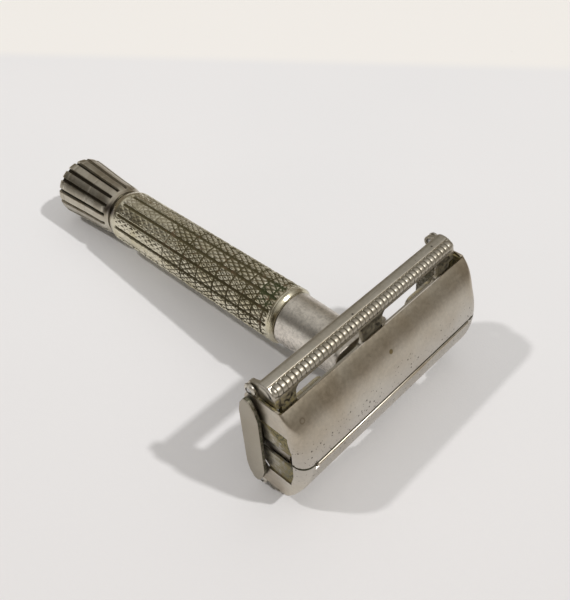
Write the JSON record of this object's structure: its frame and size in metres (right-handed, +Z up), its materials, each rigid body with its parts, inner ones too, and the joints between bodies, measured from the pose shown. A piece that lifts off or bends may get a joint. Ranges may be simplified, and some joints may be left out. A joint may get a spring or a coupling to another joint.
{
  "type": "safety razor",
  "caption": "Twist-to-open safety razor: a ribbed knob on a knurled handle lifts a bar that swings curved doors open over a guard with scalloped edges.",
  "frame": {"origin": "middle of the footprint, on the surface that the razor lies on", "axes": "+X along the handle from the knob towards the head, +Y along the head, +Z up; the handle rises about 5 degrees towards the head"},
  "size_m": [0.0862, 0.046, 0.0259],
  "materials": {
    "door_nickel": "worn satin nickel plate with small pits near the seam",
    "guard_nickel": "satin nickel plate with fine lengthwise lines and dirt in the corners",
    "knob_nickel": "satin nickel plate, dark in the grooves",
    "knurled_nickel": "diamond knurl in nickel plate, olive dirt in its valleys",
    "neck_nickel": "smooth satin nickel plate, mottled",
    "inner_nickel": "plain nickel plate",
    "brass": "machined brass",
    "steel": "turned steel"
  },
  "bodies": {
    "handle": {"handle_barrel": "knurled_nickel", "neck_tube": "neck_nickel", "neck_flange": "neck_nickel", "retaining_ring": "steel", "guard_plate": "guard_nickel", "end_bracket_near": "guard_nickel", "end_bracket_far": "guard_nickel", "hinge_pin_upper_near": "steel", "hinge_pin_lower_near": "steel", "hinge_pin_upper_far": "steel", "hinge_pin_lower_far": "steel", "end_rivet_near_1": "steel", "end_rivet_near_2": "steel", "end_rivet_far_1": "steel", "end_rivet_far_2": "steel"},
    "knob": {"twist_knob": "knob_nickel", "knob_end_plug": "inner_nickel", "drive_screw": "brass", "thrust_washer": "steel"},
    "lifter": {"lift_nut": "brass", "lift_rod": "steel", "lift_bar": "inner_nickel", "rod_head": "inner_nickel", "drive_pin_upper_near": "steel", "drive_pin_lower_near": "steel", "drive_pin_upper_far": "steel", "drive_pin_lower_far": "steel"},
    "upper_door": {"door_upper": "door_nickel"},
    "lower_door": {"door_lower": "door_nickel"}
  },
  "joints": [
    {"name": "knob_turn", "type": "hinge", "parent": "handle", "child": "knob", "pos_m": [-0.03466, 0, 0.00685], "axis": [-0.9962, 0, -0.0869], "range_deg": [0, 540]},
    {"name": "rod_lift", "type": "slide", "parent": "handle", "child": "lifter", "axis": [0.9962, 0, 0.0869], "range_m": [0, 0.003]},
    {"name": "upper_door_hinge", "type": "hinge", "parent": "handle", "child": "upper_door", "pos_m": [0.03214, 0, 0.02362], "axis": [0, -1, 0], "range_deg": [0, 60]},
    {"name": "lower_door_hinge", "type": "hinge", "parent": "handle", "child": "lower_door", "pos_m": [0.03403, 0, 0.0019], "axis": [0, 1, 0], "range_deg": [0, 60]}
  ],
  "couplings": [
    {"joint": "knob_turn", "follows": "rod_lift", "rad_per_m": 3141.6},
    {"joint": "upper_door_hinge", "follows": "rod_lift", "rad_per_m": 349.06},
    {"joint": "lower_door_hinge", "follows": "rod_lift", "rad_per_m": 349.06}
  ]
}
